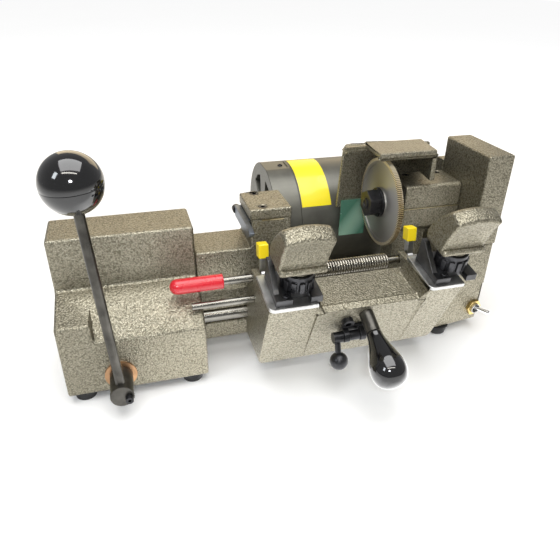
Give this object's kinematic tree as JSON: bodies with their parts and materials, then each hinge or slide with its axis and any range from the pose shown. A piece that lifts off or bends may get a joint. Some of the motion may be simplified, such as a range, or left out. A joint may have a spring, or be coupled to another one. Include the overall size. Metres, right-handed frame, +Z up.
{
  "type": "key duplicating machine",
  "caption": "Bench key duplicating machine: lever-driven sliding carriage with two wing-knob vises, tracer blade, toothed cutter wheel under a guard, belt drive and motor behind.",
  "frame": {"origin": "on the bench, below the middle of the machine's bounding box", "axes": "+X to the operator's right along the machine, +Y away from the operator, +Z up"},
  "size_m": [0.4622, 0.3844, 0.2531],
  "materials": {
    "hammertone": "hammertone enamel on rough castings",
    "machined": "milled and turned steel",
    "dark_steel": "blackened steel",
    "motor_black": "satin black enamel",
    "phenolic": "polished black phenolic",
    "yellow": "yellow plastic",
    "label_yellow": "bare yellow label film",
    "red_grip": "worn red dipped grip",
    "brass": "bright brass",
    "bronze": "oiled bronze bushing",
    "gold_cutter": "gold coloured hard coating",
    "rubber": "black rubber",
    "green_shield": "green translucent plastic",
    "bat": "plated",
    "blue_blade": "ground tool steel"
  },
  "bodies": {
    "base": {"left_housing": "hammertone", "rail_bed": "hammertone", "right_base": "hammertone", "motor_shelf": "hammertone", "rubber_feet": "rubber", "base_screws": "machined", "guide_cap": "hammertone", "cap_screws": "dark_steel", "tracer_blade": "blue_blade", "tracer_adjust_screw": "dark_steel", "spindle_cap": "hammertone", "spindle_bearings": "machined", "belt_housing": "hammertone", "belt_housing_screws": "dark_steel", "rear_belt_guard": "hammertone", "cutter_guard": "hammertone", "chip_shield": "green_shield", "motor_barrel": "motor_black", "motor_end_bell_left": "motor_black", "motor_end_bell_right": "motor_black", "motor_label": "label_yellow", "drive_belt": "rubber", "cord_bushing": "rubber", "switch_body": "machined", "switch_nut": "brass", "bushings": "bronze"},
    "lever": {"lever_hub": "dark_steel", "lever_rod": "machined", "lever_ball": "phenolic", "lever_set_screw": "dark_steel", "lever_pinion": "machined"},
    "rack_shaft": {"main_shaft": "machined", "shaft_collars": "dark_steel"},
    "carriage": {"carriage": "hammertone", "vise_plates": "machined", "vise_cheeks": "machined", "vise_studs": "machined", "stop_rod": "machined", "handle_ferrule": "machined", "handle_bulb": "phenolic", "latch_bracket": "hammertone", "latch_screw": "dark_steel"},
    "jaw_left": {"jaw_left": "dark_steel"},
    "jaw_right": {"jaw_right": "dark_steel"},
    "wing_left": {"wing_knob_left": "hammertone"},
    "wing_right": {"wing_knob_right": "hammertone"},
    "gauge": {"gauge_rod": "machined", "gauge_grip": "red_grip", "gauge_fingers": "machined", "gauge_tips": "yellow", "gauge_spring": "dark_steel"},
    "latch": {"latch_lever": "machined"},
    "spindle": {"spindle_shaft": "machined", "cutter_wheel": "gold_cutter", "cutter_collar": "dark_steel", "cutter_nut": "dark_steel", "spindle_pulley": "machined"},
    "rotor": {"motor_shaft": "machined", "motor_pulley": "machined"},
    "switch_bat": {"switch_bat": "bat"}
  },
  "joints": [
    {"name": "lever_swing", "type": "hinge", "parent": "base", "child": "lever", "pos_m": [-0.1801, -0.0818, 0.028], "axis": [0, 1, 0], "range_deg": [-78.5, 39.2]},
    {"name": "shaft_slide", "type": "slide", "parent": "base", "child": "rack_shaft", "axis": [1, 0, 0], "range_m": [-0.024, 0.012]},
    {"name": "carriage_tilt", "type": "hinge", "parent": "rack_shaft", "child": "carriage", "pos_m": [0.0504, -0.0378, 0.0506], "axis": [-1, 0, 0], "range_deg": [0, 12.5]},
    {"name": "gauge_swing", "type": "hinge", "parent": "carriage", "child": "gauge", "pos_m": [0.0139, -0.0643, 0.106], "axis": [1, 0, 0], "range_deg": [0, 42], "stiffness_Nm_per_rad": 0.03, "springref_deg": -11.46},
    {"name": "latch_swing", "type": "hinge", "parent": "carriage", "child": "latch", "pos_m": [0.0389, -0.11752, 0.05818], "axis": [-1, 0, 0], "range_deg": [0, 35]},
    {"name": "jaw_turn_left", "type": "hinge", "parent": "carriage", "child": "jaw_left", "pos_m": [-0.0151, -0.11004, 0.12791], "axis": [0, -0.1771, 0.9842], "range_deg": [-180, 180]},
    {"name": "jaw_turn_right", "type": "hinge", "parent": "carriage", "child": "jaw_right", "pos_m": [0.1419, -0.11004, 0.12791], "axis": [0, -0.1771, 0.9842], "range_deg": [-180, 180]},
    {"name": "wing_turn_left", "type": "hinge", "parent": "carriage", "child": "wing_left", "pos_m": [-0.0151, -0.11535, 0.15744], "axis": [0, -0.1771, 0.9842], "range_deg": [0, 180]},
    {"name": "wing_turn_right", "type": "hinge", "parent": "carriage", "child": "wing_right", "pos_m": [0.1419, -0.11535, 0.15744], "axis": [0, -0.1771, 0.9842], "range_deg": [0, 180]},
    {"name": "motor_spin", "type": "hinge", "parent": "base", "child": "rotor", "pos_m": [0.0989, 0.1227, 0.0855], "axis": [1, 0, 0], "continuous": true},
    {"name": "cutter_spin", "type": "hinge", "parent": "base", "child": "spindle", "pos_m": [0.1489, -0.0068, 0.147], "axis": [1, 0, 0], "continuous": true},
    {"name": "switch_throw", "type": "hinge", "parent": "base", "child": "switch_bat", "pos_m": [0.2189, -0.06125, 0.0275], "axis": [0, 0, -1], "range_deg": [0, 46]}
  ],
  "couplings": [
    {"joint": "shaft_slide", "follows": "lever_swing", "m_per_rad": 0.0175},
    {"joint": "cutter_spin", "follows": "motor_spin", "ratio": 0.72727}
  ]
}
